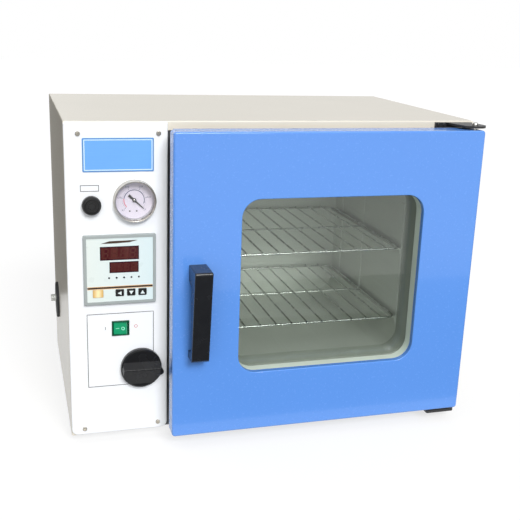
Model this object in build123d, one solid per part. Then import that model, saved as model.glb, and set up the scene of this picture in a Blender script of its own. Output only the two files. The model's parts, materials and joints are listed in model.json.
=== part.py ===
from build123d import *
import math
import os

# Bench vacuum drying oven, 20 litre class.
# All sizes in millimetres. The layout is written in cabinet coordinates:
#   x to the right, y into the cabinet, z up,
#   origin at the lower left corner of the cabinet's front, at the underside of the shell.
# Every piece is moved by SHIFT at the end, so that the part's own origin is at the
# middle of its footprint, on the surface that the feet stand on.

# ---------------------------------------------------------------- driving dimensions
CAB_W, CAB_D, CAB_H = 580.0, 360.0, 438.0     # cabinet shell
FOOT_H = 12.0
SHEET = 1.5                                   # cabinet sheet thickness
FRONT = 3.0                                   # y of the cabinet's front face
LIP = 12.0                                    # turned-in lip round the cabinet's front
FRAME_Y0, FRAME_Y1 = 4.5, 6.5                 # front frame plate

PANEL_X0, PANEL_X1 = 0.3, 133.6               # control panel
PANEL_Z0, PANEL_Z1 = 1.0, 436.5
PANEL_R = 9.0

DOOR_X0, DOOR_X1 = 132.2, 571.5               # door
DOOR_Z0, DOOR_Z1 = 8.7, 430.5
DOOR_YF, DOOR_YB = -47.8, -13.0
DOOR_R = 4.5
WIN_X0, WIN_X1 = 224.1, 486.8                 # window
WIN_Z0, WIN_Z1 = 96.0, 342.0
WIN_R = 26.0
GLASS_Y0, GLASS_Y1 = -25.0, -13.0             # 12 mm tempered pane
DOOR_SWING = 120.0

HINGE_X, HINGE_Y = 564.0, -29.0               # door axis
HINGE_R = 3.0                                 # pin radius

CH_X0, CH_X1 = 219.5, 491.5                   # chamber, inside
CH_Z0, CH_Z1 = 93.5, 344.5
CH_Y0, CH_Y1 = 1.5, 301.0
CH_R = 28.5
CH_T = 3.0

SHELF_Z = (140.0, 248.0)                      # shelf frame wire heights
SHELF_SLIDE = 24.0
WIRE_FRAME_R = 1.5

KNOB_X, KNOB_Z = 96.6, 97.8                   # vacuum valve knob
KNOB_R = 28.3
KNOB_TURN = -0.7                              # the grip's lean at rest, degrees
BLEED_X, BLEED_Z = 33.2, 330.0                # air bleed plug
GAUGE_X, GAUGE_Z = 89.5, 334.2                # vacuum gauge
POINTER_DEG = -43.0                           # pointer's direction at rest, from +x towards +z
CTRL_X, CTRL_Z = 69.0, 241.5                  # temperature controller, 96 x 96
CTRL_S = 96.0
SW_X, SW_Z = 69.1, 157.0                      # power switch
SW_PIVOT_Y = 2.5
SW_TILT = 10.0                                # rocker's tilt each side of its middle

PORT_Y, PORT_Z = 262.0, 117.5                 # vacuum outlet in the left side
NOZZLE_X = -12.0                              # outlet tip
REAR_Y = 372.0                                # rear end of the cable gland
TAB_R = 15.0                                  # hinge bracket's rounded end
LEG_X0 = 518.0                                # left end of each hinge bracket's leg

X_MIN, X_MAX = NOZZLE_X, CAB_W
Y_MIN, Y_MAX = DOOR_YF - 40.2, REAR_Y
SHIFT = (-(X_MIN + X_MAX) / 2, -(Y_MIN + Y_MAX) / 2, FOOT_H)

# ---------------------------------------------------------------- helpers


def block(x0, x1, y0, y1, z0, z1):
    return Pos((x0 + x1) / 2, (y0 + y1) / 2, (z0 + z1) / 2) * Box(x1 - x0, y1 - y0, z1 - z0)


def front(sketch, y0, y1):
    """A flat outline (x right, z up) made into a plate from y0 to y1."""
    return Pos(0, y1, 0) * (Rot(90, 0, 0) * extrude(sketch, y1 - y0))


def plan(sketch, z0, z1):
    return Pos(0, 0, z0) * extrude(sketch, z1 - z0)


def rrect(x0, x1, z0, z1, r):
    return Pos((x0 + x1) / 2, (z0 + z1) / 2) * RectangleRounded(x1 - x0, z1 - z0, r)


def cyl_y(x, z, r, y0, y1):
    return Pos(x, (y0 + y1) / 2, z) * (Rot(90, 0, 0) * Cylinder(r, y1 - y0))


def cyl_x(y, z, r, x0, x1):
    return Pos((x0 + x1) / 2, y, z) * (Rot(0, 90, 0) * Cylinder(r, x1 - x0))


def cyl_z(x, y, r, z0, z1):
    return Pos(x, y, (z0 + z1) / 2) * Cylinder(r, z1 - z0)


def turned(profile, x, z):
    """Profile points (radius, y) turned about an axis along y through (x, z)."""
    face = make_face(Polyline(*[(r, y) for r, y in profile], close=True))
    return Pos(x, 0, z) * revolve(face, Axis.Y, 360)


def across(points, x0, x1):
    """An outline given as (y, z) made into a solid from x0 to x1."""
    return Pos(x0, 0, 0) * (Plane.YZ * extrude(make_face(Polyline(*points, close=True)), x1 - x0))


def edges_at(shape, axis, value, tol=1e-3):
    """Edges that lie wholly in the plane where the coordinate on axis equals value."""
    i = {"x": 0, "y": 1, "z": 2}[axis]
    out = []
    for e in shape.edges():
        b = e.bounding_box()
        lo, hi = tuple(b.min)[i], tuple(b.max)[i]
        if abs(lo - value) < tol and abs(hi - value) < tol:
            out.append(e)
    return out


def tube(points, r_out, r_in, bend):
    path = FilletPolyline(*points, radius=bend)
    w = path.wire() if hasattr(path, "wire") else path
    start = Plane(origin=w @ 0, z_dir=w % 0)
    ring = start * (Circle(r_out) - Circle(r_in))
    return sweep(ring, path=w)


nodes = {}


def node(name, *solids):
    nodes[name] = [Pos(*SHIFT) * s for s in solids]


def pan_screw(p, d, r_head, h_head, r_shank, length):
    """Pan-head screw: p is the seat of the head, d the unit direction that the shank goes in."""
    head = Cylinder(r_head, h_head, align=(Align.CENTER, Align.CENTER, Align.MIN))
    top = [e for e in head.edges() if e.center().Z > h_head - 1e-3]
    head = fillet(top, h_head * 0.45)
    slot = Pos(0, 0, h_head) * Box(r_head * 1.1, r_head * 0.28, h_head * 0.8)
    cross = Pos(0, 0, h_head) * Box(r_head * 0.28, r_head * 1.1, h_head * 0.8)
    shank = Cylinder(r_shank, length, align=(Align.CENTER, Align.CENTER, Align.MAX))
    s = head + shank - slot - cross
    return Plane(origin=p, z_dir=(-d[0], -d[1], -d[2])) * s


# ---------------------------------------------------------------- cabinet shell
shell = Box(CAB_W, CAB_D - FRONT, CAB_H)
long_edges = [e for e in shell.edges()
              if (e.center().Z > CAB_H / 2 - 1)
              or (abs(abs(e.center().X) - CAB_W / 2) < 1 and e.center().Y < -(CAB_D - FRONT) / 2 + 1
                  and abs(e.center().Z) < 1)]
long_edges = [e for e in long_edges if not (e.center().Y > (CAB_D - FRONT) / 2 - 1)]
shell = fillet(long_edges, 1.6)
shell = Pos(CAB_W / 2, FRONT + (CAB_D - FRONT) / 2, CAB_H / 2) * shell
shell -= block(SHEET, CAB_W - SHEET, FRAME_Y0, CAB_D + 1, -1, CAB_H - SHEET)
shell -= block(LIP, CAB_W - LIP, FRONT - 1, FRAME_Y0 + 1, -1, CAB_H - LIP)
shell -= cyl_x(PORT_Y, PORT_Z - 3.5, 20.2, -1, 3)
BRACKET_SCREWS_X = (523.0, 532.0)
BRACKET_SCREWS_Z = (432.6, 4.9)
for sx in BRACKET_SCREWS_X:
    shell -= cyl_y(sx, BRACKET_SCREWS_Z[0], 1.6, FRONT - 1, FRAME_Y0 + 1)
node("outer_casing", shell)

# Front frame: the plate behind the control panel and round the chamber's mouth.
frame = block(SHEET + 0.2, CAB_W - SHEET - 0.2, FRAME_Y0, FRAME_Y1, 2.2, CAB_H - SHEET - 0.2)
frame -= front(rrect(22, 118, 60, 405, 5), FRAME_Y0 - 1, FRAME_Y1 + 1)
frame -= front(rrect(CH_X0 - CH_T - 0.1, CH_X1 + CH_T + 0.1, CH_Z0 - CH_T - 0.1, CH_Z1 + CH_T + 0.1, CH_R + CH_T),
               FRAME_Y0 - 1, FRAME_Y1 + 1)
PANEL_SCREWS = [(18.0, 422.5), (121.2, 422.5), (17.7, 10.0), (120.3, 10.4)]
for sx, sz in PANEL_SCREWS:
    frame -= cyl_y(sx, sz, 1.95, FRAME_Y0 - 1, FRAME_Y1 + 1)
for sx in BRACKET_SCREWS_X:
    for sz in BRACKET_SCREWS_Z:
        frame -= cyl_y(sx, sz, 1.55, FRAME_Y0 - 1, FRAME_Y1 + 1)

# Chamber: stainless tub with a flange round its mouth.
FL_X0, FL_X1, FL_Z0, FL_Z1 = 197.5, 513.5, 71.5, 366.5
tub = front(rrect(CH_X0 - CH_T, CH_X1 + CH_T, CH_Z0 - CH_T, CH_Z1 + CH_T, CH_R + CH_T), CH_Y0, CH_Y1 + CH_T)
tub += front(rrect(FL_X0, FL_X1, FL_Z0, FL_Z1, 30), CH_Y0, FRAME_Y0)
tub -= front(rrect(CH_X0, CH_X1, CH_Z0, CH_Z1, CH_R), CH_Y0 - 1, CH_Y1)
VAC_PORT, GAUGE_PORT, BLEED_PORT, SENSOR_PORT = (150.0, 190.0), (80.0, 290.0), (110.0, 215.0), (230.0, 205.0)
for py, pz in (VAC_PORT, GAUGE_PORT, BLEED_PORT):
    tub -= cyl_x(py, pz, 3.0, CH_X0 - CH_T - 1, CH_X0 + 1)
tub -= cyl_x(SENSOR_PORT[0], SENSOR_PORT[1], 2.05, CH_X0 - CH_T - 1, CH_X0 + 1)
FLANGE_SCREWS = [(205.0, 80.0), (506.0, 80.0), (205.0, 358.0), (506.0, 358.0),
                 (355.5, 76.5), (355.5, 361.5), (202.5, 219.0), (508.5, 219.0)]
for sx, sz in FLANGE_SCREWS:
    tub -= cyl_y(sx, sz, 1.6, CH_Y0 - 1, FRAME_Y0 + 1)
    frame -= cyl_y(sx, sz, 1.6, FRAME_Y0 - 1, FRAME_Y1 + 1)
node("chamber", tub)
node("front_frame", frame)

# Door seal: silicone bead on the flange, with a lip that lines the chamber's mouth.
seal = front(rrect(207.5, 503.5, 81.5, 356.5, 38), -12.6, CH_Y0)
seal = fillet(edges_at(seal, "y", -12.6), 3.0)
seal += front(rrect(CH_X0 + 0.1, CH_X1 - 0.1, CH_Z0 + 0.1, CH_Z1 - 0.1, CH_R - 0.1), CH_Y0 - 1, 20)
seal -= front(rrect(221, 490, 95, 343, 27), -20, 21)
node("door_seal", seal)

# ---------------------------------------------------------------- control panel
panel = front(rrect(PANEL_X0, PANEL_X1, PANEL_Z0, PANEL_Z1, PANEL_R), 0, FRONT - 0.05)
panel += front(rrect(PANEL_X0, PANEL_X1, PANEL_Z1 - 40, PANEL_Z1, 1.5), 0, FRONT - 0.05)
panel = fillet(edges_at(panel, "y", 0), 1.9)
panel -= front(rrect(PANEL_X0 + 2, PANEL_X1 - 2, PANEL_Z0 + 2, PANEL_Z1 - 2, PANEL_R - 2), 1.6, FRONT + 1)
panel -= cyl_y(GAUGE_X, GAUGE_Z, 26.4, -1, 5)
panel -= cyl_y(BLEED_X, BLEED_Z, 6.15, -1, 5)
panel -= front(rrect(CTRL_X - 45.4, CTRL_X + 45.4, CTRL_Z - 45.4, CTRL_Z + 45.4, 1), -1, 5)
panel -= front(rrect(SW_X - 10.9, SW_X + 10.9, SW_Z - 9.8, SW_Z + 9.8, 0.5), -1, 5)
panel -= cyl_y(KNOB_X, KNOB_Z, 8.2, -1, 5)
for sx, sz in PANEL_SCREWS:
    panel -= cyl_y(sx, sz, 2.1, -1, 5)
node("control_panel", panel)
node("panel_screws", *[pan_screw((sx, 0, sz), (0, 1, 0), 3.1, 1.9, 1.9, 12) for sx, sz in PANEL_SCREWS])

plate = front(rrect(23, 115, 373, 417, 1.5), -1.0, 0)
plate = fillet(edges_at(plate, "y", -1.0), 0.4)
node("nameplate", plate)

# ---------------------------------------------------------------- base, back and partition
base = block(SHEET + 0.2, CAB_W - SHEET - 0.2, FRAME_Y1 + 0.2, 356.8, 0, 2)
FEET = [(60.0, 60.0), (520.0, 60.0), (60.0, 310.0), (520.0, 310.0)]
for fx, fy in FEET:
    base -= cyl_z(fx, fy, 2.05, -1, 3)
node("base_plate", base)

rear = block(SHEET + 0.2, CAB_W - SHEET - 0.2, 357, 358.5, 2.2, CAB_H - SHEET - 0.2)
for i in range(7):
    z = 330 + 12 * i
    rear -= front(Pos(77, z) * SlotOverall(70, 4), 356, 360)
for i in range(5):
    z = 110 + 12 * i
    rear -= front(Pos(77, z) * SlotOverall(70, 4), 356, 360)
GLAND_X, GLAND_Z = 60.0, 60.0
rear -= cyl_y(GLAND_X, GLAND_Z, 8.1, 356, 360)
REAR_SCREWS = [(x, z) for x in (12.0, 290.0, 568.0) for z in (12.0, 426.0)] + [(12.0, 219.0), (568.0, 219.0)]
for sx, sz in REAR_SCREWS:
    rear -= cyl_y(sx, sz, 1.95, 356, 360)
node("rear_panel", rear)
node("rear_screws", *[pan_screw((sx, 358.5, sz), (0, -1, 0), 3.6, 2.2, 1.9, 9) for sx, sz in REAR_SCREWS])

PART_X = 152.0
wall = block(PART_X, PART_X + 1.5, FRAME_Y1 + 0.5, 356, 2.2, 432)
wall += block(PART_X - 14, PART_X + 1.5, FRAME_Y1 + 0.5, 356, 2.2, 3.7)
for py, pz in (VAC_PORT, GAUGE_PORT, BLEED_PORT):
    wall -= cyl_x(py, pz, 6.0, PART_X - 1, PART_X + 3)
wall -= cyl_x(SENSOR_PORT[0], SENSOR_PORT[1], 4.0, PART_X - 1, PART_X + 3)
node("partition", wall)

feet, foot_screws = [], []
for fx, fy in FEET:
    f = Pos(fx, fy, -FOOT_H) * Cone(14.0, 16.5, FOOT_H, align=(Align.CENTER, Align.CENTER, Align.MIN))
    f = fillet([e for e in f.edges() if e.center().Z < -FOOT_H + 0.1], 1.2)
    f -= cyl_z(fx, fy, 6.0, -FOOT_H - 1, -FOOT_H + 6)
    f -= cyl_z(fx, fy, 2.1, -FOOT_H - 1, 1)
    feet.append(f)
    foot_screws.append(pan_screw((fx, fy, -FOOT_H + 6), (0, 0, 1), 3.9, 2.6, 2.0, 12))
node("feet", *feet)
node("foot_screws", *foot_screws)

# ---------------------------------------------------------------- chamber fittings
racks = []
for side in (-1, 1):
    xw = CH_X0 + 0.1 if side < 0 else CH_X1 - 0.1
    xs = lambda a, b: (xw + a, xw + b) if side < 0 else (xw - b, xw - a)
    a, b = xs(0, 1.5)
    r = None
    for y0, y1 in ((24, 36), (170, 182), (262, 274)):
        s = block(a, b, y0, y1, 124, 314)
        r = s if r is None else r + s
    for zc in SHELF_Z:
        top = zc - WIRE_FRAME_R - 0.3
        a2, b2 = xs(1.4, 12)
        r += block(a2, b2, 24, 292, top - 1.5, top)
        a3, b3 = xs(1.4, 2.9)
        r += block(a3, b3, 24, 292, top - 9, top - 1.4)
    racks.append(r)
node("shelf_racks", *racks)


def wire_shelf(zc):
    """Welded wire shelf: a frame, ten wires on top of it and a cross wire below them."""
    x0, x1, y0, y1 = 225.2, 485.8, 18.0, 296.0
    rf, rw, rc = WIRE_FRAME_R, 1.25, 1.4
    loop = FilletPolyline((x1, y0, zc), (x1, y1, zc), (x0, y1, zc), (x0, y0, zc), radius=12, close=True)
    w = loop.wire()
    ring = Plane(origin=w @ 0, z_dir=w % 0) * Circle(rf)
    s = sweep(ring, path=w)
    zw = zc + rf + rw - 0.7
    n = 10
    wires = []
    for i in range(n):
        x = x0 + (x1 - x0) * (i + 1) / (n + 1)
        wires.append(Pos(x, (y0 + y1) / 2, zw) * (Rot(90, 0, 0) * Cylinder(rw, y1 - y0 + 4.4)))
    cross = cyl_x(157, zw - rw - rc + 0.5, rc, x0, x1)
    s = s + cross
    for v in wires:
        s = s + v
    return s


node("shelf_lower", wire_shelf(SHELF_Z[0]))
node("shelf_upper", wire_shelf(SHELF_Z[1]))

HX0, HX1 = CH_X0 - CH_T, CH_X1 + CH_T
HZ0, HZ1 = CH_Z0 - CH_T, CH_Z1 + CH_T
node("heater_plates",
     block(252, 460, 30, 280, HZ0 - 3.1, HZ0 - 0.1),
     block(252, 460, 30, 280, HZ1 + 0.1, HZ1 + 3.1),
     block(HX0 - 3.1, HX0 - 0.1, 165, 285, 125, 195),
     block(HX1 + 0.1, HX1 + 3.1, 30, 280, 125, 315))

ins_left = block(172, HX0 - 3.4, 8, 306, HZ0 - 2, HZ1 + 2)
for py, pz in (VAC_PORT, GAUGE_PORT, BLEED_PORT):
    ins_left -= cyl_x(py, pz, 4.6, 170, HX0)
ins_left -= cyl_x(SENSOR_PORT[0], SENSOR_PORT[1], 5.0, 170, HX0)
node("insulation",
     ins_left,
     block(HX1 + 3.4, 545, 8, 306, HZ0 - 2, HZ1 + 2),
     block(172, 545, 8, 306, HZ1 + 3.4, 392),
     block(172, 545, 8, 306, 46, HZ0 - 3.4),
     block(172, 545, 306.4, 342, 46, 392))

probe = cyl_x(SENSOR_PORT[0], SENSOR_PORT[1], 2.0, 150, 238) + cyl_x(SENSOR_PORT[0], SENSOR_PORT[1], 4.5, 204, HX0 - 0.1)
probe = fillet(edges_at(probe, "x", 238), 1.2)
node("temperature_sensor", probe)

# ---------------------------------------------------------------- vacuum line
VB_Y = 39.0
valve = block(KNOB_X - 14, KNOB_X + 14, VB_Y - 14, VB_Y + 14, KNOB_Z - 14, KNOB_Z + 14)
valve = chamfer(valve.edges().filter_by(Axis.Y), 4)
valve += cyl_x(VB_Y, KNOB_Z, 9, KNOB_X - 26, KNOB_X + 26)
valve += cyl_y(KNOB_X, KNOB_Z, 7.6, 2.0, VB_Y)
valve -= Pos(KNOB_X, VB_Y, KNOB_Z) * Sphere(9.2)
valve -= cyl_x(VB_Y, KNOB_Z, 4.0, KNOB_X - 27, KNOB_X + 27)
valve -= cyl_y(KNOB_X, KNOB_Z, 3.05, 0, VB_Y)
node("valve_body", valve)

outlet = tube([(24, PORT_Y, PORT_Z), (45, PORT_Y, PORT_Z), (45, 100, PORT_Z), (45, VB_Y, KNOB_Z),
               (KNOB_X - 26, VB_Y, KNOB_Z)], 4.0, 3.0, [9, 14, 9])
vac = tube([(KNOB_X + 26, VB_Y, KNOB_Z), (138, VB_Y, KNOB_Z), (138, 150, KNOB_Z), (138, 150, VAC_PORT[1]),
            (HX0 - 0.05, 150, VAC_PORT[1])], 4.0, 3.0, [10, 12, 12])
gpipe = tube([(GAUGE_X, 46, GAUGE_Z), (GAUGE_X, 80, GAUGE_Z), (138, 80, GAUGE_Z), (138, 80, GAUGE_PORT[1]),
              (HX0 - 0.05, 80, GAUGE_PORT[1])], 4.0, 3.0, [12, 12, 12])
bpipe = tube([(BLEED_X, 40, BLEED_Z), (BLEED_X, 110, BLEED_Z), (138, 110, BLEED_Z), (138, 110, BLEED_PORT[1]),
              (HX0 - 0.05, 110, BLEED_PORT[1])], 4.0, 3.0, [14, 14, 14])
node("vacuum_pipes", outlet, vac, gpipe, bpipe)

nozzle = cyl_x(PORT_Y, PORT_Z, 5.5, NOZZLE_X, -4.2) + cyl_x(PORT_Y, PORT_Z, 5.0, -4.2, 24)
nozzle = chamfer(edges_at(nozzle, "x", NOZZLE_X), 0.6)
nozzle += cyl_x(PORT_Y, PORT_Z, 8.0, 12.2, 16)
nozzle -= cyl_x(PORT_Y, PORT_Z, 3.0, NOZZLE_X - 1, 25)
node("vacuum_nozzle", nozzle)

grommet = cyl_x(PORT_Y, PORT_Z - 3.5, 29.0, -4.0, 0)
grommet = fillet(edges_at(grommet, "x", -4.0), 1.5)
grommet += cyl_x(PORT_Y, PORT_Z - 3.5, 20.0, -1, 8)
grommet += cyl_x(PORT_Y, PORT_Z - 3.5, 22.5, SHEET + 0.1, 4.5)
grommet -= cyl_x(PORT_Y, PORT_Z, 5.05, -6, 10)
node("port_grommet", grommet)

# ---------------------------------------------------------------- valve knob, with its spindle and ball
disc = cyl_y(0, 0, KNOB_R, -8.2, -0.9)
disc = chamfer(edges_at(disc, "y", -8.2), 1.6, 1.9)
# The grip is a ridge whose lower side slopes all the way down to the rim.
grip = across([(-6.9, 11.4), (-16.2, 1.5), (-16.2, 0.1), (-6.9, -25.9)], -28, 28)
grip = fillet([e for e in grip.edges() if e.length > 50 and e.center().Y < -16], 0.9)
ends = [Plane(origin=(0, y, -7.0), z_dir=(0, -1, 0), x_dir=(1, 0, 0)) * Rectangle(w, 60) for y, w in ((-6.8, 55.0), (-17.0, 49.8))]
grip &= loft(ends)
grip &= cyl_y(0, 0, KNOB_R - 1.5, -20, -6.8)
nub = front(make_face(Polyline((KNOB_R - 6, 6.6), (KNOB_R - 1, 5.6), (KNOB_R + 2.9, 2.6), (KNOB_R + 3.9, 0.0),
                               (KNOB_R + 2.9, -2.6), (KNOB_R - 1, -5.6), (KNOB_R - 6, -6.6), close=True)), -8.6, -1.6)
nub = fillet(nub.edges().filter_by(Axis.Y), 0.8)
nub = fillet(edges_at(nub, "y", -8.6), 0.5)
nub = Rot(0, 14.0, 0) * nub
knob = disc + grip + nub
knob += cyl_y(0, 0, 7.0, -1.0, 0.9)
knob += cyl_y(0, 0, 3.0, -1.0, VB_Y - 8)
ball = Pos(0, VB_Y, 0) * Sphere(9.0)
ball -= cyl_x(VB_Y, 0, 4.0, -10, 10)
spindle_tip = cyl_y(0, 0, 3.0, VB_Y - 10, VB_Y - 6)
knob_turn = Pos(KNOB_X, 0, KNOB_Z) * Rot(0, -KNOB_TURN, 0)
knob = knob_turn * knob
ball = Pos(KNOB_X, 0, KNOB_Z) * (ball - cyl_y(0, 0, 3.0, VB_Y - 12, VB_Y - 7.9))
node("valve_knob", knob)
node("valve_ball", ball)

# ---------------------------------------------------------------- air bleed
bleed_body = cyl_y(BLEED_X, BLEED_Z, 8.5, -1.4, 0) + cyl_y(BLEED_X, BLEED_Z, 6.0, -0.1, 40)
bleed_body += Pos(BLEED_X, 3.8 / 2 + 1.6, BLEED_Z) * (Rot(90, 0, 0) * extrude(RegularPolygon(9, 6), 3.8 / 2, both=True))
bleed_body -= cyl_y(BLEED_X, BLEED_Z, 2.55, -2, 41)
node("bleed_valve_body", bleed_body)
plug = turned([(0, -9.3), (4.7, -9.3), (5.3, -10.3), (7.6, -10.3), (8.2, -9.2), (8.9, -9.2), (9.4, -9.9),
               (10.9, -9.7), (12.0, -8.5), (12.5, -6.8), (12.5, -2.4), (12.0, -1.8), (2.5, -1.8), (2.5, 30), (0, 30)], BLEED_X, BLEED_Z)
node("bleed_plug", plug)

# ---------------------------------------------------------------- vacuum gauge
case = cyl_y(GAUGE_X, GAUGE_Z, 26.1, -1.6, 26) - cyl_y(GAUGE_X, GAUGE_Z, 25.1, -2, 25)
case -= cyl_y(GAUGE_X, GAUGE_Z, 3.0, 20, 30)
case += cyl_y(GAUGE_X, GAUGE_Z, 5.0, 26, 46) - cyl_y(GAUGE_X, GAUGE_Z, 3.0, 25, 47)
case += Pos(GAUGE_X, 31, GAUGE_Z) * (Rot(90, 0, 0) * extrude(RegularPolygon(8, 6), 3, both=True)) \
    - cyl_y(GAUGE_X, GAUGE_Z, 4.0, 20, 40)
node("gauge_case", case)
bez = turned([(26.2, 0), (26.2, -6.9), (25.0, -6.9), (25.0, -7.6), (25.3, -8.4), (25.8, -9.1), (26.4, -9.5), (26.9, -9.6),
              (27.4, -9.2), (27.7, -8.3), (27.75, -2.2), (28.2, -1.6), (28.3, 0)], GAUGE_X, GAUGE_Z)
node("gauge_bezel", bez)
dial = cyl_y(GAUGE_X, GAUGE_Z, 25.0, 4.5, 5.2) - cyl_y(GAUGE_X, GAUGE_Z, 1.2, 4, 6)
node("gauge_dial", dial)
node("gauge_lens", cyl_y(GAUGE_X, GAUGE_Z, 26.0, -6.8, -5.5))
movement = block(GAUGE_X - 12, GAUGE_X + 12, 5.25, 17, GAUGE_Z - 9, GAUGE_Z + 9)
movement += block(GAUGE_X - 4, GAUGE_X + 4, 17, 24.9, GAUGE_Z - 4, GAUGE_Z + 4)
movement -= cyl_y(GAUGE_X, GAUGE_Z, 0.95, 5, 16)
node("gauge_movement", movement)
hand_outline = make_face(Polyline((17.2, 0.4), (4.0, 0.95), (2.0, 1.5), (-3.0, 1.3), (-9.8, 1.8), (-9.8, -1.8),
                                  (-3.0, -1.3), (2.0, -1.5), (4.0, -0.95), (17.2, -0.4), close=True))
hand = front(hand_outline, 2.9, 3.5) + cyl_y(0, 0, 2.6, 2.4, 3.7) + cyl_y(0, 0, 0.9, 3.5, 15)
hand = Pos(GAUGE_X, 0, GAUGE_Z) * (Rot(0, -POINTER_DEG, 0) * hand)
node("gauge_pointer", hand)

# ---------------------------------------------------------------- temperature controller
cx, cz, hs = CTRL_X, CTRL_Z, CTRL_S / 2
bezel = front(rrect(cx - hs, cx + hs, cz - hs, cz + hs, 1.6), -5, 0)
bezel = fillet(edges_at(bezel, "y", -5), 0.8)
bezel -= front(rrect(cx - 44, cx + 44, cz - 44, cz + 44, 1.0), -6, 1)
node("controller_bezel", bezel)
housing = front(rrect(cx - 45, cx + 45, cz - 45, cz + 45, 1.5), 0, 78)
housing -= front(rrect(cx - 43, cx + 43, cz - 43, cz + 43, 1.0), -1, 76)
for i in range(6):
    housing -= block(cx - 38 + 13.4 * i, cx - 30 + 13.4 * i, 76 - 1, 79, cz - 20, cz + 20)
node("controller_housing", housing)

KEYS = {"key_set": (cx - 36.9 + 7.3, cz - 32.3, 13.4, 10.4), "key_left": (cx - 0.8, cz - 32.3, 10.8, 9.2),
        "key_down": (cx + 14.5, cz - 32.3, 10.8, 9.2), "key_up": (cx + 29.8, cz - 32.3, 10.8, 9.2)}
PV = (cx - 26.2, cx + 25.2, cz + 13.6, cz + 32.4)
SV = (cx - 14.0, cx + 24.7, cz - 4.1, cz + 11.1)
LEDS = [(cx - 14.7 + 9.92 * i, cz - 11.0) for i in range(5)]
fascia = front(rrect(cx - 43.9, cx + 43.9, cz - 43.9, cz + 43.9, 0.8), -4.3, -2.3)
for x0, x1, z0, z1 in (PV, SV):
    fascia -= front(rrect(x0 - 0.1, x1 + 0.1, z0 - 0.1, z1 + 0.1, 0.4), -5, -2)
for x, z in LEDS:
    fascia -= cyl_y(x, z, 1.35, -5, -2)
for kx, kz, kw, kh in KEYS.values():
    fascia -= front(Pos(kx, kz) * RectangleRounded(kw + 0.7, kh + 0.7, 1.2), -5, -2)
node("controller_face", fascia)
node("display_windows",
     front(rrect(*PV, 0.3), -4.2, -1.6),
     front(rrect(*SV, 0.3), -4.2, -1.6))
lamps = []
for x, z in LEDS:
    lamp = cyl_y(x, z, 1.25, -4.7, 3.8)
    lamps.append(fillet(edges_at(lamp, "y", -4.7), 0.6))
node("indicator_lamps", *lamps)
board = block(cx - 42.5, cx + 42.5, 4, 5.6, cz - 42.5, cz + 42.5)
for kx, kz, kw, kh in KEYS.values():
    board += block(kx - 3, kx + 3, 1.6, 4.1, kz - 3, kz + 3)
    board += cyl_y(kx, kz, 1.5, 0.9, 1.7)
node("controller_board", board)
for kname, (kx, kz, kw, kh) in KEYS.items():
    key = front(Pos(kx, kz) * RectangleRounded(kw, kh, 1.0), -5.3, -3.0)
    key = fillet(edges_at(key, "y", -5.3), 0.45)
    key += front(Pos(kx, kz) * RectangleRounded(kw + 2.0, kh + 2.0, 1.0), -1.6, -0.8)
    key += front(Pos(kx, kz) * RectangleRounded(kw - 1.0, kh - 1.0, 1.0), -3.1, -1.5)
    key += cyl_y(kx, kz, 1.6, -0.9, 0.1)
    node(kname, key)

# ---------------------------------------------------------------- power switch
sw = front(rrect(SW_X - 11.9, SW_X + 11.9, SW_Z - 10.8, SW_Z + 10.8, 0.8), -1.5, 0)
sw = fillet(edges_at(sw, "y", -1.5), 0.5)
sw += front(rrect(SW_X - 10.8, SW_X + 10.8, SW_Z - 9.7, SW_Z + 9.7, 0.4), -0.1, 20)
sw -= block(SW_X - 10.4, SW_X + 10.4, -2, 15, SW_Z - 9.0, SW_Z + 9.0)
sw -= cyl_z(SW_X, SW_PIVOT_Y, 1.25, SW_Z - 9.6, SW_Z + 9.6)
for tx in (-6.0, 0.0, 6.0):
    sw += block(SW_X + tx - 0.4, SW_X + tx + 0.4, 19.9, 28, SW_Z - 2.4, SW_Z + 2.4)
node("switch_housing", sw)
k = 10.0
prof = Curve() + [Polyline((-7.0, 3.4), (7.0, 3.4))]
right = ThreePointArc((k * math.cos(math.radians(20)), k * math.sin(math.radians(20))), (k, 0),
                      (k * math.cos(math.radians(33)), -k * math.sin(math.radians(33))))
left = ThreePointArc((-k * math.cos(math.radians(33)), -k * math.sin(math.radians(33))), (-k, 0),
                     (-k * math.cos(math.radians(20)), k * math.sin(math.radians(20))))
outline = [Line((-k * math.cos(math.radians(20)), k * math.sin(math.radians(20))),
                (k * math.cos(math.radians(20)), k * math.sin(math.radians(20)))),
           right,
           ThreePointArc(right @ 1, (0, -4.4), left @ 0),
           left]
rocker = Pos(0, 0, -8.6) * extrude(make_face(outline), 17.2)
rocker += Cylinder(1.2, 19.0)
rocker = Pos(SW_X, SW_PIVOT_Y, SW_Z) * (Rot(0, 0, -SW_TILT) * rocker)
node("power_rocker", rocker)

# ---------------------------------------------------------------- electrics in the instrument bay
relay = block(60, 105, 250, 308, 2.1, 27) - block(66, 99, 253, 262, 20, 28) - block(66, 99, 296, 305, 20, 28)
for tx in (72, 93):
    for ty in (257.5, 300.5):
        relay += cyl_z(tx, ty, 3.0, 19.9, 24)
node("solid_state_relay", relay)
tb = block(24, 96, 330, 352, 84, 98)
for i in range(5):
    tb -= cyl_y(31 + 14 * i, 91, 2.6, 329, 353)
    tb -= cyl_z(31 + 14 * i, 341, 2.6, 91, 99)
node("terminal_block", tb)

gland = cyl_y(GLAND_X, GLAND_Z, 8.0, 342, 360)
gland += Pos(GLAND_X, 361.0, GLAND_Z) * (Rot(90, 0, 0) * extrude(RegularPolygon(11.0, 6), 2.5, both=True))
gland += cyl_y(GLAND_X, GLAND_Z, 9.2, 363, REAR_Y)
gland = fillet(edges_at(gland, "y", REAR_Y), 2.2)
gland += Pos(GLAND_X, 354.0, GLAND_Z) * (Rot(90, 0, 0) * extrude(RegularPolygon(11.0, 6), 2.9, both=True))
gland -= cyl_y(GLAND_X, GLAND_Z, 4.0, 341, REAR_Y + 1)
node("power_gland", gland)

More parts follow.
